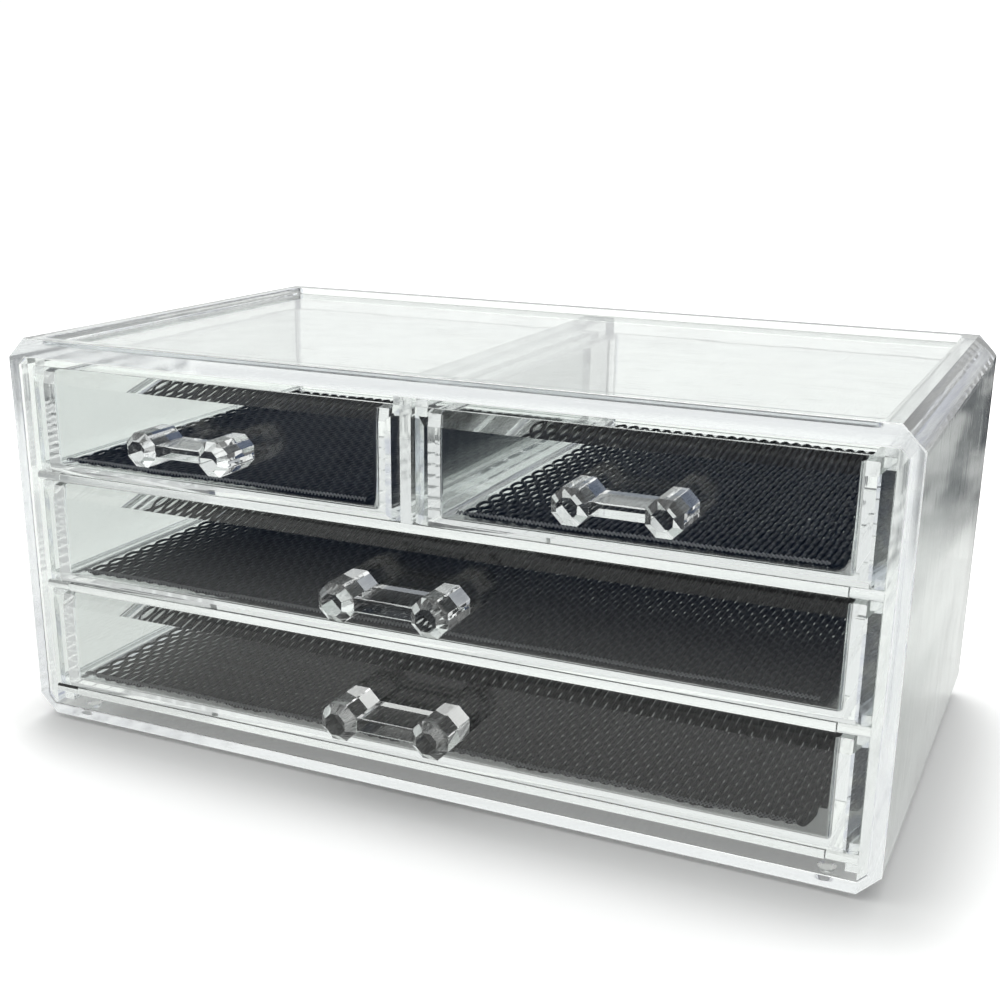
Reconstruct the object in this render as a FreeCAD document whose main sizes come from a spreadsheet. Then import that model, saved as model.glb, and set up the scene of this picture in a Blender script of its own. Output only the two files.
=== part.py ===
"""Clear drawer organizer for a dressing table: two small drawers above two wide ones.

Frame: millimetres, +Z up, front towards -Y. The origin is on the surface that the feet stand on,
in the middle of the whole organizer's outline, handles included. Each body is drawn about the
middle of the case alone, and its placement moves it back by half of what the handles add in front.
"""
import FreeCAD, Part
import os
import re
from FreeCAD import Placement, Rotation, Vector

SIZES = {
    # Outer shell of the case.
    "case_width": 240.0,
    "case_depth": 134.0,
    "case_height": 108.4,
    "long_edge_chamfer": 5.4,
    "side_wall": 3.4,
    "floor_thickness": 3.2,
    "cavity_height": 99.9,
    "cavity_chamfer": 2.0,
    "back_wall": 3.0,
    "front_edge_radius": 0.4,
    "shelf_edge_radius": 0.3,
    "back_edge_radius": 1.6,
    "rim_side_width": 9.7,
    "rim_end_width": 4.0,
    "rim_height": 2.0,
    "recess_corner_radius": 1.5,
    "recess_edge_radius": 0.6,
    # Feet moulded on the underside of the shell.
    "foot_height": 1.3,
    "foot_tip_radius": 1.6,
    "foot_root_radius": 2.2,
    "foot_side_inset": 13.5,
    "foot_end_inset": 7.0,
    # Thickness of the glue line between the pieces of the case.
    "glue_line": 0.06,
    # Side panels with their guide ribs, shelves and the upright between the small drawers.
    "panel_thickness": 2.2,
    "rib_thickness": 3.2,
    "rib_above": 2.0,
    "rib_below": 3.28,
    "rib_setback": 3.8,
    "top_rib_height": 5.3,
    "inner_setback": 0.9,
    "first_shelf": 6.6,
    "row_pitch": 31.5,
    "shelf_thickness": 2.3,
    "lug_width": 7.3,
    "lug_depth": 6.0,
    "lug_slot": 0.3,
    "lug_bevel": 0.6,
    "upright_thickness": 3.0,
    # Drawers, each moulded in one piece.
    "side_play": 0.5,
    "bottom_play": 0.2,
    "front_setback": 0.4,
    "front_thickness": 3.0,
    "front_height": 28.5,
    "top_bevel_rise": 3.9,
    "top_bevel_depth": 2.05,
    "side_bevel_run": 3.3,
    "side_bevel_depth": 1.75,
    "bottom_bevel_rise": 1.5,
    "bottom_bevel_depth": 0.8,
    "tray_inset": 3.3,
    "tray_reach": 126.6,
    "tray_wall": 3.0,
    "tray_floor": 1.7,
    "tray_rim_drop": 1.5,
    "tray_inner_radius": 1.2,
    "tray_rim_radius": 0.4,
    # Handles: two gem-cut knobs joined by a flat web, in two sizes.
    "wide_knob_flats": 9.75,
    "wide_knob_spacing": 25.4,
    "wide_web_height": 3.75,
    "wide_girdle_reach": 11.9,
    "wide_crown": 2.1,
    "small_knob_flats": 8.7,
    "small_knob_spacing": 21.8,
    "small_web_height": 3.35,
    "small_girdle_reach": 11.2,
    "small_crown": 1.9,
    "web_setback": 0.25,
    "web_edge_radius": 0.4,
    "crown_edge_radius": 0.15,
    # Net mats that line the drawers.
    "mat_thickness": 1.6,
    "mat_gap": 0.1,
    "mat_end_gap": 1.4,
    "mat_side_gap": 3.0,
    "mat_back_gap": 4.0,
}

KNOB_SIDES = 8
HALF_KNOB_STEP = 180 / KNOB_SIDES
TOLERANCE = 1e-4
ALIAS = re.compile(r"[a-z]+(?:_[a-z]+)+")

os.makedirs("parts", exist_ok=True)
doc = FreeCAD.newDocument("drawer_organizer")
sheet = doc.addObject("Spreadsheet::Sheet", "Sizes")
for row, (alias, number) in enumerate(SIZES.items(), start=1):
    sheet.set(f"A{row}", str(number))
    sheet.setAlias(f"A{row}", alias)
doc.recompute()


def size(alias):
    """The present number in one of the sheet's cells."""
    return float(sheet.get(alias))


def bind(feature, formulas):
    """Binds a feature's properties to formulas written with the sheet's aliases."""
    for path, formula in formulas.items():
        feature.setExpression(path, ALIAS.sub(lambda word: "Sizes." + word.group(), formula))


def piece(label):
    """A new body for one sub-part, placed so that the whole organizer is centred."""
    body = doc.addObject("PartDesign::Body", label)
    body.Label = label
    handle_projection = "wide_girdle_reach + wide_crown + glue_line - front_setback"
    bind(body, {"Placement.Base.y": f"({handle_projection}) / 2"})
    return body


def block(body, name, x, y, z, cut=False):
    """Adds or cuts away a box. Each of x, y and z is a pair of formulas, low and high."""
    kind = "SubtractiveBox" if cut else "AdditiveBox"
    box = body.newObject("PartDesign::" + kind, name)
    spans = {"x": (x, "Length"), "y": (y, "Width"), "z": (z, "Height")}
    for axis, ((low, high), side) in spans.items():
        bind(box, {f"Placement.Base.{axis}": low, side: f"({high}) - ({low})"})
    doc.recompute()
    return box


def edge_names(feature, wanted):
    """Names of a feature's edges whose bounding box passes a test."""
    edges = enumerate(feature.Shape.Edges, start=1)
    return [f"Edge{number}" for number, edge in edges if wanted(edge.BoundBox)]


def runs_along(box, axis, others):
    """Whether a box is as thin as a line that runs along one axis."""
    lengths = {"x": box.XLength, "y": box.YLength, "z": box.ZLength}
    return lengths[axis] > TOLERANCE and all(lengths[other] < TOLERANCE for other in others)


def near(first, second):
    """Whether two coordinates are the same."""
    return abs(first - second) < TOLERANCE


def round_edges(body, name, base, wanted, radius):
    """Rounds the edges of the base feature that pass a test."""
    fillet = body.newObject("PartDesign::Fillet", name)
    fillet.Base = (base, edge_names(base, wanted))
    bind(fillet, {"Radius": radius})
    doc.recompute()
    return fillet


def bevel_edges(body, name, base, wanted, inset):
    """Cuts an even 45 degree bevel along the edges of the base feature that pass a test."""
    chamfer = body.newObject("PartDesign::Chamfer", name)
    chamfer.Base = (base, edge_names(base, wanted))
    bind(chamfer, {"Size": inset})
    doc.recompute()
    return chamfer


def slant(body, name, y, x, z, x_back, z_back):
    """Cuts away a wedge that starts as the rectangle x by z at the front and ends as a line."""
    wedge = body.newObject("PartDesign::SubtractiveWedge", name)
    formulas = {"Placement.Base.y": y[0], "Ymin": "0", "Ymax": f"({y[1]}) - ({y[0]})"}
    pairs = {"X": x, "X2": x_back, "Z": z, "Z2": z_back}
    for side, (low, high) in pairs.items():
        formulas[side + "min"] = low
        formulas[side + "max"] = high
    bind(wedge, formulas)
    doc.recompute()
    return wedge


def case_shell():
    """Outer shell: a tube-like box with chamfered long edges, open at the front only."""
    body = piece("case_shell")
    half = "case_width / 2"
    front, back = "-case_depth / 2", "case_depth / 2"
    top = "foot_height + case_height"
    outer = block(body, "ShellBlock", ("-" + half, half), (front, back), ("foot_height", top))
    outer = bevel_edges(
        body, "LongChamfers", outer, lambda box: runs_along(box, "y", "xz"), "long_edge_chamfer",
    )
    rear = size("case_depth") / 2
    tall = size("case_height") - 2 * size("long_edge_chamfer")
    outer = round_edges(
        body, "BackRounding", outer,
        lambda box: near(box.YMin, rear) and near(box.YMax, rear) and near(box.ZLength, tall),
        "back_edge_radius",
    )
    cavity_floor = "foot_height + floor_thickness"
    cavity_half = "(case_width / 2 - side_wall)"
    cavity = block(
        body, "Cavity", ("-" + cavity_half, cavity_half), (front, back + " - back_wall"),
        (cavity_floor, cavity_floor + " + cavity_height"), cut=True,
    )
    inner_side = size("case_width") / 2 - size("side_wall")
    cavity = bevel_edges(
        body, "CavityChamfers", cavity,
        lambda box: runs_along(box, "y", "xz") and near(abs(box.Center.x), inner_side), "cavity_chamfer",
    )
    recess = block(
        body, "TopRecess",
        ("-" + half + " + rim_side_width", half + " - rim_side_width"),
        (front + " + rim_end_width", back + " - rim_end_width"),
        (top + " - rim_height", top), cut=True,
    )
    recess_half = size("case_width") / 2 - size("rim_side_width")
    recess = round_edges(
        body, "RecessCorners", recess,
        lambda box: runs_along(box, "z", "xy") and near(abs(box.Center.x), recess_half),
        "recess_corner_radius",
    )
    rim_top = size("foot_height") + size("case_height")

    def on_recess_edge(edge):
        inside = max(abs(edge.XMin), abs(edge.XMax)) < recess_half + TOLERANCE
        return inside and near(edge.ZMin, edge.ZMax) and edge.ZMin > rim_top - size("rim_height") - TOLERANCE

    recess = round_edges(body, "RecessEdges", recess, on_recess_edge, "recess_edge_radius")
    face = -size("case_depth") / 2
    rounded = round_edges(
        body, "FrontRounding", recess,
        lambda box: near(box.YMin, face) and near(box.YMax, face), "front_edge_radius",
    )
    for side, sign_x in (("Left", "-"), ("Right", "")):
        for end, sign_y in (("Front", "-"), ("Back", "")):
            foot = body.newObject("PartDesign::AdditiveCone", f"{end}{side}Foot")
            bind(foot, {
                "Placement.Base.x": f"{sign_x}(case_width / 2 - foot_side_inset)",
                "Placement.Base.y": f"{sign_y}(case_depth / 2 - foot_end_inset)",
                "Radius1": "foot_tip_radius",
                "Radius2": "foot_root_radius",
                "Height": "foot_height",
            })
    doc.recompute()
    return body


def rib_rows():
    """Low and high formulas of each guide rib, for every shelf and for the rib under the top."""
    rows = []
    for level in range(3):
        shelf = shelf_bottom(level)
        rows.append((f"Below{level}", f"{shelf} - glue_line - rib_below", f"{shelf} - glue_line"))
        over = f"{shelf} + shelf_thickness"
        rows.append((f"Above{level}", f"{over} + glue_line", f"{over} + rib_above"))
    return rows


def shelf_bottom(level):
    """Height of a shelf's underside, counted from the bottom one."""
    return f"foot_height + first_shelf + {level} * row_pitch"


def ceiling():
    """Height of the highest point that the pieces inside the shell reach."""
    return "foot_height + floor_thickness + cavity_height - glue_line"


def ordered(first, second, mirrored):
    """A pair of formulas, or its mirror image about the middle of the case."""
    return (f"-({second})", f"-({first})") if mirrored else (first, second)


def side_panel(label, mirrored):
    """Panel glued to the inside of a side wall, with ribs that hold the shelves and guide the drawers."""
    body = piece(label)
    skin = "case_width / 2 - side_wall - glue_line"
    inner = skin + " - panel_thickness"
    depth = ("-case_depth / 2 + inner_setback", "case_depth / 2 - back_wall - glue_line")
    sheet_span = ("foot_height + floor_thickness + glue_line", ceiling())
    panel = block(body, "Panel", ordered(inner, skin, mirrored), depth, sheet_span)
    outer_x = size("case_width") / 2 - size("side_wall") - size("glue_line")
    bevel_edges(
        body, "PanelBevels", panel,
        lambda box: runs_along(box, "y", "xz") and near(abs(box.Center.x), outer_x), "cavity_chamfer",
    )
    rib_depth = ("-case_depth / 2 + rib_setback", depth[1])
    rib_width = ordered(inner + " - rib_thickness", inner, mirrored)
    for name, low, high in rib_rows():
        block(body, "Rib" + name, rib_width, rib_depth, (low, high))
    block(body, "RibTop", rib_width, rib_depth, (ceiling() + " - top_rib_height", ceiling()))
    return body


def shelf(label, level):
    """Flat shelf, slid into the slots between the ribs; a slot sets off a bevelled lug at each end."""
    body = piece(label)
    half = "(case_width / 2 - side_wall - panel_thickness - 2 * glue_line)"
    under = shelf_bottom(level)
    over = under + " + shelf_thickness"
    front = "-case_depth / 2 + inner_setback"
    block(
        body, "Plate", ("-" + half, half),
        (front, "case_depth / 2 - back_wall - glue_line"), (under, over),
    )
    slot_end = f"{half} - lug_width"
    slot_start = f"{slot_end} - lug_slot"
    lug_back = f"{front} + lug_depth"
    block(
        body, "LeftSlot", (f"-({slot_end})", f"-({slot_start})"), (front, lug_back),
        (under, over), cut=True,
    )
    plate = block(
        body, "RightSlot", (slot_start, slot_end), (front, lug_back), (under, over), cut=True,
    )
    front_y = -size("case_depth") / 2 + size("inner_setback")

    def on_front(box):
        return runs_along(box, "x", "yz") and near(box.YMin, front_y)

    def on_lug(box):
        return on_front(box) and box.XLength < size("lug_width") + size("lug_slot")

    lugs = bevel_edges(body, "LugBevels", plate, on_lug, "lug_bevel")
    round_edges(
        body, "FrontEdges", lugs, lambda box: on_front(box) and box.XLength > size("case_width") / 2,
        "shelf_edge_radius",
    )


def upright():
    """Upright between the small drawers, with a guide rib on each side at its foot and its head."""
    body = piece("center_divider")
    half = "upright_thickness / 2"
    foot = shelf_bottom(2) + " + shelf_thickness + glue_line"
    depth = ("-case_depth / 2 + inner_setback", "case_depth / 2 - back_wall - glue_line")
    block(body, "Web", ("-" + half, half), depth, (foot, ceiling()))
    wide = half + " + rib_thickness"
    rib_depth = ("-case_depth / 2 + rib_setback", depth[1])
    block(body, "FootRibs", ("-(" + wide + ")", wide), rib_depth, (foot, foot + " + rib_above"))
    block(
        body, "HeadRibs", ("-(" + wide + ")", wide), rib_depth,
        (ceiling() + " - top_rib_height", ceiling()),
    )


WIDE_SPAN = (
    "-case_width / 2 + side_wall + panel_thickness + side_play",
    "case_width / 2 - side_wall - panel_thickness - side_play",
)
RIGHT_SPAN = ("upright_thickness / 2 + side_play", WIDE_SPAN[1])
LEFT_SPAN = (WIDE_SPAN[0], "-upright_thickness / 2 - side_play")


def drawer_bottom(level):
    """Height of a drawer's underside, on the shelf of that level."""
    return shelf_bottom(level) + " + shelf_thickness + bottom_play"


def drawer(label, span, level):
    """Open tray moulded in one piece with its bevelled front, which overlaps the ribs on both sides."""
    body = piece(label)
    left, right = span
    low = drawer_bottom(level)
    front = "-case_depth / 2 + front_setback"
    board_back = front + " + front_thickness"
    high = low + " + front_height"
    block(body, "Front", span, (front, board_back), (low, high))
    tall = (low, high)
    slant(
        body, "TopBevel", (front, front + " + top_bevel_depth"),
        span, (high + " - top_bevel_rise", high), span, (high, high),
    )
    slant(
        body, "BottomBevel", (front, front + " + bottom_bevel_depth"),
        span, (low, low + " + bottom_bevel_rise"), span, (low, low),
    )
    side_y = (front, front + " + side_bevel_depth")
    slant(body, "LeftBevel", side_y, (left, left + " + side_bevel_run"), tall, (left, left), tall)
    slant(body, "RightBevel", side_y, (right + " - side_bevel_run", right), tall, (right, right), tall)
    tray_x = (left + " + tray_inset", right + " - tray_inset")
    tray_back = "-case_depth / 2 + tray_reach"
    rim = low + " + front_height - tray_rim_drop"
    block(body, "Tray", tray_x, (board_back, tray_back), (low, rim))
    hollow_x = (tray_x[0] + " + tray_wall", tray_x[1] + " - tray_wall")
    hollow = block(
        body, "Hollow", hollow_x, (board_back, tray_back + " - tray_wall"),
        (low + " + tray_floor", rim), cut=True,
    )
    return body, hollow


def soften_tray(body, hollow):
    """Rounds the tray's inner corners and the rim of its walls."""
    box = hollow.Shape.BoundBox
    board_back = box.YMin + size("front_thickness")
    side = size("tray_inset") + size("tray_wall")
    left, right = box.XMin + side, box.XMax - side
    floor_top = box.ZMin + size("tray_floor")
    rim = box.ZMax - size("tray_rim_drop")

    def starts_on_floor(edge):
        return near(edge.ZMin, floor_top) and edge.XMin > left - TOLERANCE and edge.XMax < right + TOLERANCE

    soft = round_edges(body, "InnerCorners", hollow, starts_on_floor, "tray_inner_radius")

    def on_rim(edge):
        level = near(edge.ZMin, rim) and near(edge.ZMax, rim)
        return level and edge.YMax > board_back + TOLERANCE

    round_edges(body, "RimRounding", soft, on_rim, "tray_rim_radius")


def handle(label, span, level, kind):
    """Handle moulded in one piece: two octagonal gem-cut knobs and the flat web that joins them."""
    body = piece(label)
    middle_x = f"(({span[0]}) + ({span[1]})) / 2"
    flat_low = drawer_bottom(level) + " + bottom_bevel_rise"
    flat_high = drawer_bottom(level) + " + front_height - top_bevel_rise"
    middle_z = f"(({flat_low}) + ({flat_high})) / 2"
    base = "-case_depth / 2 + front_setback - glue_line"
    reach = f"{kind}_girdle_reach"
    spread = f"{kind}_knob_spacing / 2"
    tall = f"{kind}_web_height / 2"
    web = block(
        body, "Web", (f"{middle_x} - {spread}", f"{middle_x} + {spread}"),
        (f"{base} - {reach} + web_setback", base), (f"{middle_z} - {tall}", f"{middle_z} + {tall}"),
    )
    facing_front = Rotation(Vector(1, 0, 0), 90).multiply(Rotation(Vector(0, 0, 1), HALF_KNOB_STEP))
    for name, sign in (("LeftKnob", "-"), ("RightKnob", "+")):
        knob = body.newObject("PartDesign::AdditivePrism", name)
        knob.Polygon = KNOB_SIDES
        knob.Placement = Placement(Vector(), facing_front)
        bind(knob, {
            "Circumradius": f"{kind}_knob_flats / 2 / cos({HALF_KNOB_STEP} deg)",
            "Height": f"{reach} + {kind}_crown",
            "Placement.Base.x": f"{middle_x} {sign} {spread}",
            "Placement.Base.y": base,
            "Placement.Base.z": middle_z,
        })
        doc.recompute()
    web_front = web.Shape.BoundBox.YMin
    tip = knob.Shape.BoundBox.YMin
    crown = body.newObject("PartDesign::Chamfer", "Crowns")
    crown.Base = (knob, edge_names(knob, lambda box: near(box.YMin, tip) and near(box.YMax, tip)))
    bind(crown, {"Size": f"{kind}_crown"})
    doc.recompute()
    soft_web = round_edges(
        body, "WebEdges", crown,
        lambda box: runs_along(box, "x", "yz") and near(box.YMin, web_front), "web_edge_radius",
    )
    round_edges(
        body, "CrownEdges", soft_web, lambda box: near(box.YMin, tip) and near(box.YMax, tip),
        "crown_edge_radius",
    )
    return body


def mat(label, span, level):
    """Net mat, as the plain slab that its meshes fill."""
    body = piece(label)
    low = drawer_bottom(level) + " + tray_floor + mat_gap"
    front = "-case_depth / 2 + front_setback + front_thickness + mat_end_gap"
    inset = "(tray_inset + tray_wall + mat_side_gap)"
    block(
        body, "Slab", (f"{span[0]} + {inset}", f"{span[1]} - {inset}"),
        (front, "-case_depth / 2 + tray_reach - tray_wall - mat_back_gap"), (low, low + " + mat_thickness"),
    )
    return body


DRAWERS = (
    ("lower", WIDE_SPAN, 0, "wide"),
    ("middle", WIDE_SPAN, 1, "wide"),
    ("upper_left", LEFT_SPAN, 2, "small"),
    ("upper_right", RIGHT_SPAN, 2, "small"),
)

case_shell()
side_panel("left_side_panel", mirrored=True)
side_panel("right_side_panel", mirrored=False)
for level, place in enumerate(("bottom", "lower", "upper")):
    shelf(place + "_shelf", level)
upright()
for place, span, level, kind in DRAWERS:
    soften_tray(*drawer(place + "_drawer", span, level))
    handle(place + "_handle", span, level, kind)
    mat(place + "_mat", span, level)
doc.recompute()

for thing in doc.Objects:
    if {"Invalid", "Error"} & set(thing.State):
        raise RuntimeError(f"{thing.Name}: {thing.State}")

bodies = [thing for thing in doc.Objects if thing.TypeId == "PartDesign::Body"]
for body in bodies:
    if body.Shape.isNull() or not body.Shape.isValid() or len(body.Shape.Solids) != 1:
        raise RuntimeError(f"{body.Label} is not one valid solid")

for body in bodies:
    body.Shape.exportStep(f"parts/{body.Label}.step")
    box = body.Shape.BoundBox
    print(
        f"{body.Label:22s} {body.Shape.Volume / 1000:8.2f} cm3"
        f"  x {box.XMin:8.2f} {box.XMax:8.2f}  y {box.YMin:8.2f} {box.YMax:8.2f}"
        f"  z {box.ZMin:7.2f} {box.ZMax:7.2f}"
    )
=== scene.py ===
"""Clear plastic drawer organizer on a studio floor: two small drawers over two wide ones."""
import math

import bmesh
import bpy
from mathutils import Matrix, Vector


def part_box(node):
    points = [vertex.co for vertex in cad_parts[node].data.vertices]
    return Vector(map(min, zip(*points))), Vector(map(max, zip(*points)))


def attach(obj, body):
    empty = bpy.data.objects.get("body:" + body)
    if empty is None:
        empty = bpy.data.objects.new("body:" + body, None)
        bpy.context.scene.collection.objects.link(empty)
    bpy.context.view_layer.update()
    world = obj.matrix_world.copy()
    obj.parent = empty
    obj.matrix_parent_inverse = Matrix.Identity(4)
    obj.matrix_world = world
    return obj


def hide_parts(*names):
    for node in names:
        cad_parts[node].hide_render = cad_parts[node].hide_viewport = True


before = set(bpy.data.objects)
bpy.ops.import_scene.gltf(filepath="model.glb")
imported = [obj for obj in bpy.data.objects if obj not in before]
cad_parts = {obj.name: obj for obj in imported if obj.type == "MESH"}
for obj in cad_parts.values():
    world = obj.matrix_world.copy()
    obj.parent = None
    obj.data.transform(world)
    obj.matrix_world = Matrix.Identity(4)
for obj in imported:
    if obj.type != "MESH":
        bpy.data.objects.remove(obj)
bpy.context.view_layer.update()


# Studio floor: a wide sheet of matt white card that the organizer stands on. It glows with painted
# light, and the glow dies out close to the case: a painted contact shadow. What the clear sides
# mirror of the card is a painted reflection: greyer, and darkest in front and in streaks behind.
FLOOR_HALF = 6.0
CARD_ROUGHNESS = 0.9
CARD_SHEEN = 0.1
CARD_WHITE = (0.80, 0.80, 0.795, 1.0)
# Colours of the painted reflection: the card as the clear sides mirror it is greyer, dark far behind and
# blue-dark in front.
CARD_PAINTED_REFLECTION = (0.62, 0.63, 0.61)
PAINTED_REFLECTION_FAR_GREY = (0.03, 0.033, 0.04)
PAINTED_REFLECTION_FRONT_BLUE = (0.012, 0.03, 0.075)
# The card's painted glow: weaker in what is mirrored, and weakest at the case's foot, where it makes a
# painted contact shadow.
CARD_PAINTED_GLOW = 0.30
PAINTED_SHADOW_GLOW = 0.1
CARD_SEEN_PAINTED_GLOW = 0.45
PAINTED_SHADOW_WIDTH = 0.032
FAR_SIDE = (0.112, 0.14)
FAR_BACK = (0.2, 0.36)
FAR_BACK_SHARE = (0.42, 1.0)
FAR_STREAKS = 55.0
FAR_STREAK_STRETCH = (1.0, 0.12, 1.0)
FAR_STREAK_STEP = (0.35, 0.6)
FAR_STREAK_LEAST = 0.55
FRONT_DARK = (-0.08, -0.27)
ONE_MIRRORING = (0.25, 0.75)
SMOOTH = "SMOOTHSTEP"

scene = bpy.context.scene
floor_mesh = bpy.data.meshes.new("studio_floor")
bm = bmesh.new()
bmesh.ops.create_grid(bm, x_segments=1, y_segments=1, size=FLOOR_HALF)
bm.to_mesh(floor_mesh)
bm.free()
floor = bpy.data.objects.new("studio_floor", floor_mesh)
scene.collection.objects.link(floor)

card = bpy.data.materials.new("white_card_painted_light")
card.use_nodes = True
card_tree = card.node_tree
card_seen = card_tree.nodes["Principled BSDF"]
card_seen.inputs["Base Color"].default_value = CARD_WHITE
card_mirrored = card_tree.nodes.new("ShaderNodeBsdfPrincipled")
for shader in (card_seen, card_mirrored):
    shader.inputs["Roughness"].default_value = CARD_ROUGHNESS
    shader.inputs["Specular IOR Level"].default_value = CARD_SHEEN
    shader.inputs["Emission Color"].default_value = (1.0, 1.0, 1.0, 1.0)
card_place = card_tree.nodes.new("ShaderNodeTexCoord").outputs["Object"]


def sum_up(tree, operation, first, second=0.0):
    """One sum in a finish: each value is a number or another node's output."""
    node = tree.nodes.new("ShaderNodeMath")
    node.operation = operation
    for socket, value in zip(node.inputs, (first, second)):
        if isinstance(value, float):
            socket.default_value = value
        else:
            tree.links.new(value, socket)
    return node.outputs[0]


def step_up(tree, value, start, end, low=0.0, high=1.0, curve="LINEAR"):
    """A step from one value to another as a node's output goes from start to end."""
    node = tree.nodes.new("ShaderNodeMapRange")
    node.interpolation_type = curve
    for socket, number in (("From Min", start), ("From Max", end), ("To Min", low), ("To Max", high)):
        node.inputs[socket].default_value = number
    tree.links.new(value, node.inputs["Value"])
    return node.outputs["Result"]


def blend_colours(tree, share, first, second):
    """Mixes two colours: each is three numbers or another node's output."""
    shade = tree.nodes.new("ShaderNodeMix")
    shade.data_type = "RGBA"
    for socket, colour in ((shade.inputs["A"], first), (shade.inputs["B"], second)):
        if isinstance(colour, tuple):
            socket.default_value = (*colour, 1.0)
        else:
            tree.links.new(colour, socket)
    tree.links.new(share, shade.inputs["Factor"])
    return shade.outputs["Result"]


def cloudy(tree, place, scale, detail, turn=(0.0, 0.0, 0.0), stretch=(1.0, 1.0, 1.0)):
    """Noise over the piece's own coordinates, turned and stretched where it has a grain."""
    mapping = tree.nodes.new("ShaderNodeMapping")
    mapping.inputs["Rotation"].default_value = turn
    mapping.inputs["Scale"].default_value = stretch
    tree.links.new(place, mapping.inputs["Vector"])
    noise = tree.nodes.new("ShaderNodeTexNoise")
    noise.inputs["Scale"].default_value = scale
    noise.inputs["Detail"].default_value = detail
    tree.links.new(mapping.outputs["Vector"], noise.inputs["Vector"])
    return noise.outputs["Fac"]


def axes_of(tree, vector):
    node = tree.nodes.new("ShaderNodeSeparateXYZ")
    tree.links.new(vector, node.inputs[0])
    return node.outputs


case_low, case_high = (Vector(corner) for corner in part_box("case_shell"))
case_middle = (case_low + case_high) / 2.0
case_half = (case_high - case_low) / 2.0
card_axes = axes_of(card_tree, card_place)
# Painted contact shadow: the glow the camera sees on the card grows with the distance from the case's
# footprint.
gaps = []
for axis, middle, half in (("X", case_middle.x, case_half.x), ("Y", case_middle.y, case_half.y)):
    gap = sum_up(card_tree, "ABSOLUTE", sum_up(card_tree, "SUBTRACT", card_axes[axis], middle))
    gap = sum_up(card_tree, "MAXIMUM", sum_up(card_tree, "SUBTRACT", gap, half), 0.0)
    gaps.append(sum_up(card_tree, "MULTIPLY", gap, gap))
outside = sum_up(card_tree, "SQRT", sum_up(card_tree, "ADD", *gaps))
card_tree.links.new(
    step_up(card_tree, outside, 0.0, PAINTED_SHADOW_WIDTH, PAINTED_SHADOW_GLOW, CARD_SEEN_PAINTED_GLOW, SMOOTH),
    card_seen.inputs["Emission Strength"])

# Painted reflection: once mirrored, the card takes the greyer colours, darkest far behind in streaks and in
# front, with less glow there.
card_path = card_tree.nodes.new("ShaderNodeLightPath")
mirrored = step_up(card_tree, card_path.outputs["Glossy Depth"], *ONE_MIRRORING)
far_streaks = step_up(card_tree, cloudy(card_tree, card_place, FAR_STREAKS, 2.0, stretch=FAR_STREAK_STRETCH),
                      *FAR_STREAK_STEP, FAR_STREAK_LEAST, 1.0, SMOOTH)
far_back = sum_up(card_tree, "MULTIPLY", step_up(card_tree, card_axes["X"], *FAR_SIDE, curve=SMOOTH),
                  step_up(card_tree, card_axes["Y"], *FAR_BACK, *FAR_BACK_SHARE, SMOOTH))
far_back = sum_up(card_tree, "MULTIPLY", sum_up(card_tree, "MULTIPLY", far_back, far_streaks), mirrored)
far_front = step_up(card_tree, card_axes["Y"], *FRONT_DARK, curve=SMOOTH)
far_front = sum_up(card_tree, "MULTIPLY", far_front, mirrored)
painted_reflection_colour = blend_colours(card_tree, far_back, CARD_PAINTED_REFLECTION, PAINTED_REFLECTION_FAR_GREY)
painted_reflection_colour = blend_colours(card_tree, far_front, painted_reflection_colour, PAINTED_REFLECTION_FRONT_BLUE)
card_tree.links.new(painted_reflection_colour, card_mirrored.inputs["Base Color"])
painted_reflection_dimming = sum_up(card_tree, "MAXIMUM", far_back, far_front)
card_tree.links.new(step_up(card_tree, painted_reflection_dimming, 0.0, 1.0, CARD_PAINTED_GLOW, 0.0, SMOOTH),
                    card_mirrored.inputs["Emission Strength"])
card_mix = card_tree.nodes.new("ShaderNodeMixShader")
card_tree.links.new(card_path.outputs["Is Camera Ray"], card_mix.inputs["Fac"])
card_tree.links.new(card_mirrored.outputs[0], card_mix.inputs[1])
card_tree.links.new(card_seen.outputs[0], card_mix.inputs[2])
card_tree.links.new(card_mix.outputs[0], card_tree.nodes["Material Output"].inputs["Surface"])
floor_mesh.materials.append(card)


# Light tent: white cloth all round, brighter overhead, greyer on the right and dark round the
# opening at the front, so that clear edges and facets have light and dark to bend.
TENT_WHITE = (0.985, 1.0, 0.995, 1.0)
TENT_BASE = 1.02
OPENING_SHARE = 0.12
RIGHT_SHARE = 0.5
OVERHEAD_GAIN = 0.5
LOW_SHARE = 0.90
BACKDROP = 1.3
OPENING_BAND = (-0.85, -0.35)
RIGHT_BAND = (0.3, 0.9)
OVERHEAD_BAND = (0.72, 0.9)
LOW_BAND = (0.05, 0.5)
CLEAR_BOUNCES = 64
CARD_BOUNCES = 3
SHADOW_BOUNCES = 24

world = bpy.data.worlds.new("white_tent")
scene.world = world
world.use_nodes = True
tent = world.node_tree
tent.nodes.clear()
tent_direction = tent.nodes.new("ShaderNodeTexCoord")
tent_axes = axes_of(tent, tent_direction.outputs["Generated"])
front_share = step_up(tent, tent_axes["Y"], *OPENING_BAND, OPENING_SHARE, 1.0, SMOOTH)
side_share = step_up(tent, tent_axes["X"], *RIGHT_BAND, 1.0, RIGHT_SHARE, SMOOTH)
overhead = step_up(tent, tent_axes["Z"], *OVERHEAD_BAND, 0.0, OVERHEAD_GAIN, SMOOTH)
low_share = step_up(tent, tent_axes["Z"], *LOW_BAND, LOW_SHARE, 1.0, SMOOTH)
walls = sum_up(tent, "MULTIPLY", sum_up(tent, "MULTIPLY", front_share, side_share), TENT_BASE)
walls = sum_up(tent, "MULTIPLY", walls, low_share)
brightness = sum_up(tent, "ADD", walls, overhead)
tent_light = tent.nodes.new("ShaderNodeBackground")
tent_light.inputs["Color"].default_value = TENT_WHITE
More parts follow.
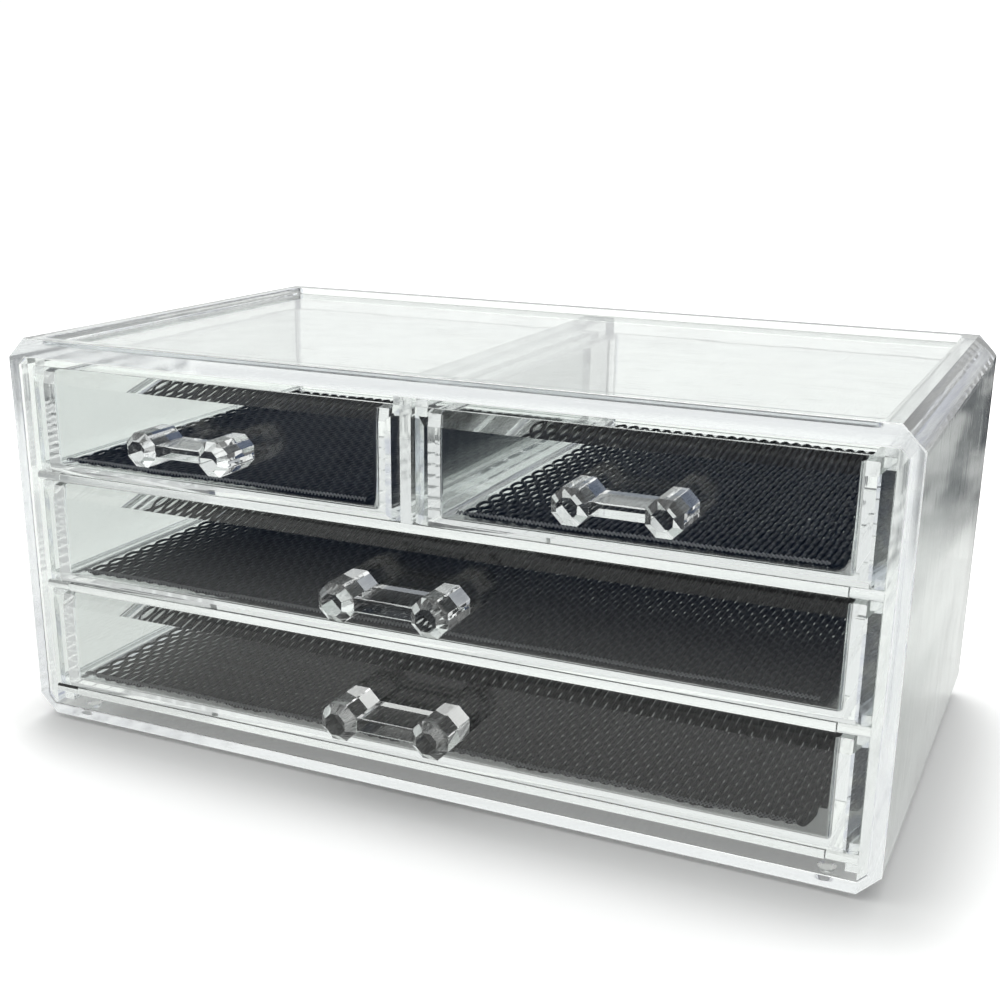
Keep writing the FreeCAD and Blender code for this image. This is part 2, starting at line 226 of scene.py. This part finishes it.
tent.links.new(brightness, tent_light.inputs["Strength"])
tent_seen = tent.nodes.new("ShaderNodeBackground")
tent_seen.inputs["Strength"].default_value = BACKDROP
tent_path = tent.nodes.new("ShaderNodeLightPath")
tent_mix = tent.nodes.new("ShaderNodeMixShader")
tent.links.new(tent_path.outputs["Is Camera Ray"], tent_mix.inputs["Fac"])
tent.links.new(tent_light.outputs[0], tent_mix.inputs[1])
tent.links.new(tent_seen.outputs[0], tent_mix.inputs[2])
tent_out = tent.nodes.new("ShaderNodeOutputWorld")
tent.links.new(tent_mix.outputs[0], tent_out.inputs["Surface"])

scene.view_settings.view_transform = "Standard"
scene.view_settings.look = "None"
scene.cycles.max_bounces = CLEAR_BOUNCES
scene.cycles.transmission_bounces = CLEAR_BOUNCES
scene.cycles.glossy_bounces = CLEAR_BOUNCES
scene.cycles.diffuse_bounces = CARD_BOUNCES
scene.cycles.transparent_max_bounces = SHADOW_BOUNCES


# Lamp over the tent, to the back left: a soft square light that models the edges.
LAMP_SIDE = 1.1
LAMP_POWER = 12.0
LAMP_PLACE = Vector((-0.35, 0.75, 1.5))

lamp_data = bpy.data.lights.new("overhead_lamp", "AREA")
lamp_data.shape = "SQUARE"
lamp_data.size = LAMP_SIDE
lamp_data.energy = LAMP_POWER
lamp = bpy.data.objects.new("overhead_lamp", lamp_data)
lamp.location = LAMP_PLACE
lamp.rotation_euler = (-LAMP_PLACE).to_track_quat("-Z", "Y").to_euler()
lamp.visible_transmission = False
scene.collection.objects.link(lamp)


# Camera: to the right of the middle and a little above, with the near right edge close to it.
CAMERA_FROM_CASE_FRONT = (0.15458, -0.28425, 0.16882)
CAMERA_YAW = 0.416068
CAMERA_PITCH = 0.308473
CAMERA_ROLL = 0.01434
FOCAL_SHARE = 1.390728
CENTRE_RIGHT = 0.013437
CENTRE_DOWN = 0.054402
SENSOR_WIDTH = 36.0
NEAR_CLIP = 0.01

camera_data = bpy.data.cameras.new("studio_camera")
camera = bpy.data.objects.new("studio_camera", camera_data)
forward = Vector((
    -math.sin(CAMERA_YAW) * math.cos(CAMERA_PITCH),
    math.cos(CAMERA_YAW) * math.cos(CAMERA_PITCH),
    -math.sin(CAMERA_PITCH),
))
level_right = Vector((math.cos(CAMERA_YAW), math.sin(CAMERA_YAW), 0.0))
level_up = level_right.cross(forward)
right = level_right * math.cos(CAMERA_ROLL) + level_up * math.sin(CAMERA_ROLL)
up = level_up * math.cos(CAMERA_ROLL) - level_right * math.sin(CAMERA_ROLL)
camera_place = Vector(CAMERA_FROM_CASE_FRONT) + Vector((0.0, case_low.y, 0.0))
camera_turn = Matrix((right, up, -forward)).transposed().to_4x4()
camera.matrix_world = Matrix.Translation(camera_place) @ camera_turn
camera_data.sensor_width = SENSOR_WIDTH
camera_data.lens = FOCAL_SHARE * SENSOR_WIDTH
camera_data.shift_x = -CENTRE_RIGHT
camera_data.shift_y = CENTRE_DOWN
camera_data.clip_start = NEAR_CLIP
scene.collection.objects.link(camera)
scene.camera = camera


# Case: one deep moulding of clear acrylic, open at the front, with bevelled long edges, a raised
# rim round its top and four small feet. It carries the faint flow of the moulding, some fine
# scratches from handling, and a little dust, and a painted grey shade on its bevels and front faces.
MOULD_FLOW_SCALE = 28.0
SCRATCH_STRETCH = 26.0
SCRATCH_SCALE = 34.0
SCRATCH_TURNS = ((0.4, 0.3, 0.7), (-0.6, 0.5, -0.35))
SCRATCH_STEPS = ((0.66, 0.72), (0.67, 0.73))
SMUDGE_SCALE = 60.0
SMUDGE_STEP = (0.5, 0.75)
SMUDGE_SHARE = 0.3
DUST_SCALE = 420.0
DUST_STEP = (0.12, 0.07)
MARK_DEPTH = -0.1
ACRYLIC_IOR = 1.49
CASE_WEAR = 0.8
# Bevel, corner and front masks, and the painted grey shade they carry: a grey tint in streaks and blotches
# that stands in for the darker light these faces show.
BEVEL_STEP = (0.3, 0.45)
CORNER_STEP = (0.3, 0.4)
FRONT_STEP = (-0.9, -0.98)
FRONT_REACH = (-0.03, -0.05)
SIDE_STEP = (0.9, 0.98)
STREAK_STEP = (0.3, 0.7)
PAINTED_GREY_STEP = (0.45, 0.57)
PAINTED_BLOTCH_STEP = (0.42, 0.58)
CASE_TINT = (0.938, 0.955, 0.948)
CASE_CLEARER = (0.957, 0.969, 0.964)
CASE_POLISH = (0.0, 0.03)
CASE_RIPPLE = 0.00006
BEVEL_PAINTED_SHADE = (0.62, 0.64, 0.74)
BEVEL_STREAK_SCALE = 900.0
BEVEL_STREAK_STRETCH = 30.0
BEVEL_ROUGHNESS = (0.05, 0.11)
BEVEL_PAINTED_GREY_SHARE = (0.1, 1.0)
BEVEL_LINES = 0.00007
SIDE_LINES_SHARE = 0.15
CORNER_PAINTED_BLOTCHES = 260.0
CUT_EDGE_HAZE = 0.14
CASE_FRONT_PAINTED_SHADE = 0.3

moulded = bpy.data.node_groups.new("moulded_acrylic_marks", "ShaderNodeTree")
moulded.interface.new_socket("Place", in_out="INPUT", socket_type="NodeSocketVector")
moulded.interface.new_socket("Wear", in_out="INPUT", socket_type="NodeSocketFloat")
for output in ("Flow", "Haze", "Height"):
    moulded.interface.new_socket(output, in_out="OUTPUT", socket_type="NodeSocketFloat")
marks_in = moulded.nodes.new("NodeGroupInput")
marks_out = moulded.nodes.new("NodeGroupOutput")
place_in = marks_in.outputs["Place"]
flow = cloudy(moulded, place_in, MOULD_FLOW_SCALE, 2.0)
smudge = step_up(moulded, cloudy(moulded, place_in, SMUDGE_SCALE, 4.0), *SMUDGE_STEP)
scratches = sum_up(
    moulded, "MAXIMUM",
    step_up(moulded, cloudy(moulded, place_in, SCRATCH_SCALE, 3.0, SCRATCH_TURNS[0],
                            (1.0, SCRATCH_STRETCH, 1.0)), *SCRATCH_STEPS[0]),
    step_up(moulded, cloudy(moulded, place_in, SCRATCH_SCALE, 3.0, SCRATCH_TURNS[1],
                            (SCRATCH_STRETCH, 1.0, 1.0)), *SCRATCH_STEPS[1]))
specks = moulded.nodes.new("ShaderNodeTexVoronoi")
specks.inputs["Scale"].default_value = DUST_SCALE
moulded.links.new(place_in, specks.inputs["Vector"])
dust = step_up(moulded, specks.outputs["Distance"], *DUST_STEP)
worn = sum_up(moulded, "MULTIPLY", sum_up(moulded, "MAXIMUM", scratches, dust),
              marks_in.outputs["Wear"])
moulded.links.new(flow, marks_out.inputs["Flow"])
moulded.links.new(sum_up(moulded, "ADD", sum_up(moulded, "MULTIPLY", smudge, SMUDGE_SHARE), worn),
                  marks_out.inputs["Haze"])
moulded.links.new(sum_up(moulded, "ADD", flow, sum_up(moulded, "MULTIPLY", worn, MARK_DEPTH)),
                  marks_out.inputs["Height"])

# Ground bevels and cut fronts: streaked roughness and fine bump lines, and a painted grey shade in streaks
# on the bevels, in blotches on the upright corners and on the front faces.
worked = bpy.data.node_groups.new("ground_faces_and_painted_shade", "ShaderNodeTree")
for name in ("Place", "Facing"):
    worked.interface.new_socket(name, in_out="INPUT", socket_type="NodeSocketVector")
for name in ("Front Painted Shade", "Front Haze"):
    worked.interface.new_socket(name, in_out="INPUT", socket_type="NodeSocketFloat")
for name in ("Rough", "Painted Grey", "Height"):
    worked.interface.new_socket(name, in_out="OUTPUT", socket_type="NodeSocketFloat")
worked_in = worked.nodes.new("NodeGroupInput")
worked_out = worked.nodes.new("NodeGroupOutput")
facing = axes_of(worked, worked_in.outputs["Facing"])
worked_place = axes_of(worked, worked_in.outputs["Place"])
on_bevel = sum_up(worked, "ABSOLUTE", sum_up(worked, "MULTIPLY", facing["X"], facing["Z"]))
on_bevel = step_up(worked, on_bevel, *BEVEL_STEP)
on_corner = sum_up(worked, "ABSOLUTE", sum_up(worked, "MULTIPLY", facing["X"], facing["Y"]))
on_corner = step_up(worked, on_corner, *CORNER_STEP)
on_front = sum_up(worked, "MULTIPLY", step_up(worked, facing["Y"], *FRONT_STEP),
                  step_up(worked, worked_place["Y"], *FRONT_REACH))
on_side = step_up(worked, sum_up(worked, "ABSOLUTE", facing["X"]), *SIDE_STEP, 0.0, SIDE_LINES_SHARE)
streaks = cloudy(worked, worked_in.outputs["Place"], BEVEL_STREAK_SCALE, 3.0,
                 stretch=(1.0, 1.0 / BEVEL_STREAK_STRETCH, 1.0))
drawn = cloudy(worked, worked_in.outputs["Place"], BEVEL_STREAK_SCALE / 3.0, 2.0,
               stretch=(1.0, 1.0, 1.0 / BEVEL_STREAK_STRETCH))
blotches = cloudy(worked, worked_in.outputs["Place"], CORNER_PAINTED_BLOTCHES, 1.0)
worked.links.new(sum_up(worked, "ADD", sum_up(worked, "MULTIPLY", on_bevel, streaks),
                        sum_up(worked, "MULTIPLY", on_side, drawn)), worked_out.inputs["Height"])
rough = sum_up(worked, "MULTIPLY", on_bevel, step_up(worked, streaks, *STREAK_STEP, *BEVEL_ROUGHNESS))
worked.links.new(sum_up(worked, "MAXIMUM", rough, sum_up(
    worked, "MULTIPLY", on_front, worked_in.outputs["Front Haze"])), worked_out.inputs["Rough"])
# Painted shade: grey in streaks on the long bevels, in blotches on the upright corner bevels, and on the
# front faces as much as is given.
painted_grey = sum_up(worked, "MULTIPLY", on_bevel, step_up(worked, streaks, *PAINTED_GREY_STEP, *BEVEL_PAINTED_GREY_SHARE))
painted_grey = sum_up(worked, "MAXIMUM", painted_grey,
                sum_up(worked, "MULTIPLY", on_corner, step_up(worked, blotches, *PAINTED_BLOTCH_STEP)))
worked.links.new(sum_up(worked, "MAXIMUM", painted_grey, sum_up(
    worked, "MULTIPLY", on_front, worked_in.outputs["Front Painted Shade"])), worked_out.inputs["Painted Grey"])


def clear_plastic(name, tint, clearer, polish, ripple, wear, front_shade_and_haze=None):
    """Polished clear acrylic: tint and polish drift a little, and marks show where it is handled.

    Where the front shade and haze are given, bevels are ground, with streaked roughness, and carry a
    painted grey shade in fine streaks; upright corner bevels carry it in blotches, and the front faces
    have that much painted grey shade, and that haze.
    """
    finish = bpy.data.materials.new(name)
    finish.use_nodes = True
    tree = finish.node_tree
    shader = tree.nodes["Principled BSDF"]
    shader.inputs["Transmission Weight"].default_value = 1.0
    shader.inputs["IOR"].default_value = ACRYLIC_IOR
    place = tree.nodes.new("ShaderNodeTexCoord")
    marks = tree.nodes.new("ShaderNodeGroup")
    marks.node_tree = moulded
    marks.inputs["Wear"].default_value = wear
    tree.links.new(place.outputs["Object"], marks.inputs["Place"])
    bump = tree.nodes.new("ShaderNodeBump")
    bump.inputs["Strength"].default_value = 1.0
    bump.inputs["Distance"].default_value = ripple
    tree.links.new(marks.outputs["Height"], bump.inputs["Height"])
    roughness = step_up(tree, marks.outputs["Haze"], 0.0, 1.0, *polish)
    colour = blend_colours(tree, marks.outputs["Flow"], tint, clearer)
    if front_shade_and_haze is not None:
        faces = tree.nodes.new("ShaderNodeGroup")
        faces.node_tree = worked
        faces.inputs["Front Painted Shade"].default_value, faces.inputs["Front Haze"].default_value = front_shade_and_haze
        tree.links.new(place.outputs["Object"], faces.inputs["Place"])
        tree.links.new(place.outputs["Normal"], faces.inputs["Facing"])
        roughness = sum_up(tree, "ADD", roughness, faces.outputs["Rough"])
        colour = blend_colours(tree, faces.outputs["Painted Grey"], colour, BEVEL_PAINTED_SHADE)
        lines = tree.nodes.new("ShaderNodeBump")
        lines.inputs["Strength"].default_value = 1.0
        lines.inputs["Distance"].default_value = BEVEL_LINES
        tree.links.new(faces.outputs["Height"], lines.inputs["Height"])
        tree.links.new(lines.outputs["Normal"], bump.inputs["Normal"])
    tree.links.new(bump.outputs["Normal"], shader.inputs["Normal"])
    tree.links.new(roughness, shader.inputs["Roughness"])
    tree.links.new(colour, shader.inputs["Base Color"])
    return finish


def dress(node, finish):
    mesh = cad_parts[node].data
    mesh.materials.clear()
    mesh.materials.append(finish)


# The case's front faces get a painted grey shade as well as the cut-edge haze.
dress("case_shell", clear_plastic("clear_case_plastic", CASE_TINT, CASE_CLEARER, CASE_POLISH,
                                  CASE_RIPPLE, CASE_WEAR, (CASE_FRONT_PAINTED_SHADE, CUT_EDGE_HAZE)))


# Inner rack: two ribbed side panels, three thin shelves and an upright between the small drawers,
# moulded separately and glued inside the case.
RACK_TINT = (0.948, 0.962, 0.956)
RACK_CLEARER = (0.967, 0.978, 0.973)
RACK_POLISH = (0.0, 0.02)
RACK_RIPPLE = 0.00002
RACK_WEAR = 0.3

# The rack's bevels and corners get the painted grey shade, and its front faces only the haze.
rack_plastic = clear_plastic("clear_rack_plastic", RACK_TINT, RACK_CLEARER, RACK_POLISH, RACK_RIPPLE,
                             RACK_WEAR, (0.0, CUT_EDGE_HAZE))
for node in ("left_side_panel", "right_side_panel", "bottom_shelf", "lower_shelf", "upper_shelf",
             "center_divider"):
    dress(node, rack_plastic)


# Drawers: clear moulded trays behind thicker bevelled fronts, two small ones side by side and two
# wide ones below. They slide on the shelves and carry more scratches than the case.
DRAWER_TINT = (0.953, 0.966, 0.961)
DRAWER_CLEARER = (0.972, 0.98, 0.977)
DRAWER_POLISH = (0.0, 0.025)
DRAWER_RIPPLE = 0.00002
DRAWER_WEAR = 1.0
PLACES = ("lower", "middle", "upper_left", "upper_right")

# The drawers' bevels and corners get the painted grey shade, and their fronts get no haze.
drawer_plastic = clear_plastic("clear_drawer_plastic", DRAWER_TINT, DRAWER_CLEARER, DRAWER_POLISH,
                               DRAWER_RIPPLE, DRAWER_WEAR, (0.0, 0.0))
for place in PLACES:
    dress(place + "_drawer", drawer_plastic)


# Handles: two faceted clear knobs joined by a flat web, moulded in one and glued to each front.
# They are the brightest, most polished parts.
HANDLE_TINT = (0.985, 0.99, 0.988)
HANDLE_CLEARER = (0.995, 0.998, 0.997)
HANDLE_POLISH = (0.0, 0.004)
HANDLE_RIPPLE = 0.000004
HANDLE_WEAR = 0.2

handle_plastic = clear_plastic("clear_handle_plastic", HANDLE_TINT, HANDLE_CLEARER, HANDLE_POLISH,
                               HANDLE_RIPPLE, HANDLE_WEAR)
for place in PLACES:
    dress(place + "_handle", handle_plastic)


# Mats: loose pieces of black net, knitted from one thick glossy yarn that runs to and fro between
# front and back and turns in a loop at each end. The runs touch where they swing together, with
# holes between that widen towards the left edge, and fine greyer stitches hem the front.
MM = 0.001
NET_WAVE = 7.0 * MM
NET_PITCH = 1.62 * MM
NET_SWING = 0.15 * MM
NET_RISE = 0.14 * MM
YARN_HALF_WIDTH = 0.86 * MM
LOOSE_HALF_WIDTH = 0.46 * MM
YARN_HALF_HEIGHT = 0.42 * MM
NET_STEPS = 8
YARN_SIDES = 3
EDGE_PITCH = 2.1 * MM
EDGE_SWING = 0.62 * MM
EDGE_COLUMNS = 18
EDGE_CLOSING = 0.35
HEM_WAVE = 1.0 * MM
HEM_SWING = 0.22 * MM
HEM_HALF_WIDTH = 0.24 * MM
HEM_STEPS = 4
MAT_SLACK = 0.5 * MM
CORNER_TRIM = {"lower": 5.0 * MM, "middle": 2.0 * MM, "upper_left": 1.5 * MM, "upper_right": 2.5 * MM}
CORNER_REACH = 20.0 * MM
LEFT_STRETCH = {"lower": 2.4 * MM, "middle": 0.0, "upper_left": 2.4 * MM, "upper_right": 0.0}
HEM_ROWS = 2
HEM_ROW_GAP = 0.75 * MM
HEM_RISE = 0.3 * MM
HEM_HEIGHT = 0.65 * MM
MAT_PHASE = 1.7
WANDER_TURNS = (150.0, 120.0)
TRIM_BEND = 1.5
NET_DRIFT = 0.15 * MM
DRIFT_TURNS = (90.0, 60.0)
LOOP_SHARES = (0.25, 0.5, 0.75)
FLAT_GAIN = 1.15
NET_DROP = 0.1 * MM
BLOTCH_SCALE = 90.0
FIBRE_SCALE = 900.0
FIBRE_STRETCH = (1.0, 4.0, 4.0)
FIBRE_STEP = (0.3, 0.7)
FIBRE_BUMP = (0.5, 0.1 * MM)
# Painted glints: small light dots put into the yarn's colour where highlights would be.
PAINTED_GLINT_SCALE = 1100.0
PAINTED_GLINT_STEP = (0.3, 0.12)
# Each yarn's colour runs from dark to a lighter rubbed colour, which the painted glints reach too.
NET_BLACK = (0.002, 0.0024, 0.004)
NET_RUBBED_AND_GLINT = (0.08, 0.085, 0.10)
NET_POLISH = (0.4, 0.65)
NET_GLOSS = 0.12
HEM_GREY = (0.16, 0.165, 0.18)
HEM_RUBBED_AND_GLINT = (0.85, 0.86, 0.9)
HEM_POLISH = (0.25, 0.4)
HEM_GLOSS = 0.5


def run_ends(low, high, x, trim, phase):
    """How far one run of yarn goes: cut by hand, a little uneven, with the right corner trimmed."""
    wander = 0.5 * MAT_SLACK * (1.0 + math.sin(x * WANDER_TURNS[0] + phase))
    back_wander = 0.5 * MAT_SLACK * (1.0 + math.sin(x * WANDER_TURNS[1] + 2.0 * phase))
    cut = CORNER_REACH * max(0.0, (x - (high.x - trim)) / trim) ** TRIM_BEND
    return low.y + wander + cut, high.y - back_wander


def net_columns(low, high):
    """Each run's place, swing and half width: loose at the left edge, then closer and closer."""
    x = low.x + EDGE_SWING + YARN_HALF_WIDTH
    columns = []
    while x + NET_SWING + YARN_HALF_WIDTH <= high.x:
        loose = 1.0 - min(len(columns) / EDGE_COLUMNS, 1.0) ** EDGE_CLOSING
        columns.append((x, NET_SWING + loose * (EDGE_SWING - NET_SWING),
                        YARN_HALF_WIDTH + loose * (LOOSE_HALF_WIDTH - YARN_HALF_WIDTH)))
        x += NET_PITCH + loose * (EDGE_PITCH - NET_PITCH)
    return columns


def net_path(low, high, trim, phase):
    """The yarn's middle line, run after run from left to right, looping round at front and back."""
    points = []
    columns = net_columns(low, high)
    step = NET_WAVE / NET_STEPS
    inset = YARN_HALF_WIDTH + NET_PITCH / 2.0
    for run, (x, sway, width) in enumerate(columns):
        front, back = run_ends(low, high, x, trim, phase)
        start = math.ceil((front + inset - low.y) / step)
        stop = math.floor((back - inset - low.y) / step)
        along = range(start, stop + 1)
        if run % 2:
            along = reversed(along)
        for count in along:
            turn = 2.0 * math.pi * count / NET_STEPS + math.pi * (run % 2)
            y = low.y + count * step
            drift = NET_DRIFT * math.sin(y * DRIFT_TURNS[0] + x * DRIFT_TURNS[1] + phase)
            lift = NET_RISE * math.cos(2.0 * turn + math.pi * (run % 2))
            points.append((x + sway * math.sin(turn) + drift, y, lift, width))
        if run + 1 < len(columns):
            edge = points[-1][1]
            gap = columns[run + 1][0] - x
            way = -1.0 if run % 2 else 1.0
            for share in LOOP_SHARES:
                swing = math.sin(math.pi * share)
                points.append((x + share * gap, edge + way * swing * gap / 2.0, 0.0, LOOSE_HALF_WIDTH))
    return points


def sweep_yarn(bm, points, half_height, height, finish):
    """Sweep a flattened yarn along points with half widths, and close both of its ends."""
    corners = [2.0 * math.pi * side / YARN_SIDES + math.pi / 2.0 for side in range(YARN_SIDES)]
    rings = []
    for index, point in enumerate(points):
        before = points[max(index - 1, 0)]
        after = points[min(index + 1, len(points) - 1)]
        along = Vector((after[0] - before[0], after[1] - before[1], 0.0)).normalized()
        aside = Vector((-along.y, along.x, 0.0))
        middle = Vector((point[0], point[1], height + point[2]))
        rings.append([bm.verts.new(middle + aside * (point[3] * FLAT_GAIN * math.cos(corner))
                                   + Vector((0.0, 0.0, half_height * math.sin(corner))))
                      for corner in corners])
    for ring, following in zip(rings, rings[1:]):
        for side in range(YARN_SIDES):
            other = (side + 1) % YARN_SIDES
            face = bm.faces.new((ring[side], ring[other], following[other], following[side]))
            face.material_index = finish
    for ends in (reversed(rings[0]), rings[-1]):
        bm.faces.new(ends).material_index = finish


def yarn_finish(name, dark, rubbed_and_glint, polish, gloss):
    """Glossy yarn: a slate sheen, brighter where it is rubbed, with fine fibres and with painted glints,
    small light dots in its colour.
    """
    finish = bpy.data.materials.new(name)
    finish.use_nodes = True
    tree = finish.node_tree
    shader = tree.nodes["Principled BSDF"]
    shader.inputs["Specular IOR Level"].default_value = gloss
    place = tree.nodes.new("ShaderNodeTexCoord").outputs["Object"]
    blotches = cloudy(tree, place, BLOTCH_SCALE, 3.0)
    fibres = cloudy(tree, place, FIBRE_SCALE, 2.0, stretch=FIBRE_STRETCH)
    shade = tree.nodes.new("ShaderNodeValToRGB")
    shade.color_ramp.elements[0].color = (*dark, 1.0)
    shade.color_ramp.elements[1].color = (*rubbed_and_glint, 1.0)
    # Painted glints: light dots on a millimetre grid that brighten the colour towards its lightest.
    stitches = tree.nodes.new("ShaderNodeTexVoronoi")
    stitches.inputs["Scale"].default_value = PAINTED_GLINT_SCALE
    tree.links.new(place, stitches.inputs["Vector"])
    painted_glints = step_up(tree, stitches.outputs["Distance"], *PAINTED_GLINT_STEP)
    rubbing = sum_up(tree, "MULTIPLY", blotches, fibres)
    tree.links.new(sum_up(tree, "MAXIMUM", rubbing, sum_up(tree, "MULTIPLY", painted_glints, blotches)),
                   shade.inputs["Fac"])
    tree.links.new(shade.outputs["Color"], shader.inputs["Base Color"])
    tree.links.new(step_up(tree, fibres, *FIBRE_STEP, *polish), shader.inputs["Roughness"])
    bump = tree.nodes.new("ShaderNodeBump")
    bump.inputs["Strength"].default_value, bump.inputs["Distance"].default_value = FIBRE_BUMP
    tree.links.new(fibres, bump.inputs["Height"])
    tree.links.new(bump.outputs["Normal"], shader.inputs["Normal"])
    return finish


net_yarn = yarn_finish("black_net_yarn", NET_BLACK, NET_RUBBED_AND_GLINT, NET_POLISH, NET_GLOSS)
hem_thread = yarn_finish("grey_hem_thread", HEM_GREY, HEM_RUBBED_AND_GLINT, HEM_POLISH, HEM_GLOSS)
for index, place in enumerate(PLACES):
    low, high = (Vector(corner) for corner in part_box(place + "_mat"))
    middle_height = (low.z + high.z) / 2.0
    low.x -= LEFT_STRETCH[place]
    trim = CORNER_TRIM[place]
    mat_mesh = bpy.data.meshes.new(place + "_net_mat")
    bm = bmesh.new()
    phase = MAT_PHASE * index
    sweep_yarn(bm, net_path(low, high, trim, phase), YARN_HALF_HEIGHT, middle_height - NET_DROP, 0)
    hem_step = HEM_WAVE / HEM_STEPS
    for row in range(HEM_ROWS):
        stitches = []
        for count in range(2, int((high.x - low.x - trim) / hem_step) - 1):
            x = low.x + count * hem_step
            turn = 2.0 * math.pi * (count / HEM_STEPS + 0.5 * row)
            front = run_ends(low, high, x, trim, phase)[0] + HEM_SWING + HEM_HALF_WIDTH
            front += row * HEM_ROW_GAP
            rise = HEM_RISE * math.cos(turn)
            stitches.append((x, front + HEM_SWING * math.sin(turn), rise, HEM_HALF_WIDTH))
        sweep_yarn(bm, stitches, HEM_HALF_WIDTH, middle_height + HEM_HEIGHT, 1)
    bmesh.ops.recalc_face_normals(bm, faces=bm.faces)
    bm.to_mesh(mat_mesh)
    bm.free()
    for face in mat_mesh.polygons:
        face.use_smooth = True
    mat_mesh.materials.append(net_yarn)
    mat_mesh.materials.append(hem_thread)
    mat = bpy.data.objects.new(place + "_net_mat", mat_mesh)
    scene.collection.objects.link(mat)
    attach(mat, place + "_drawer")
    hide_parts(place + "_mat")
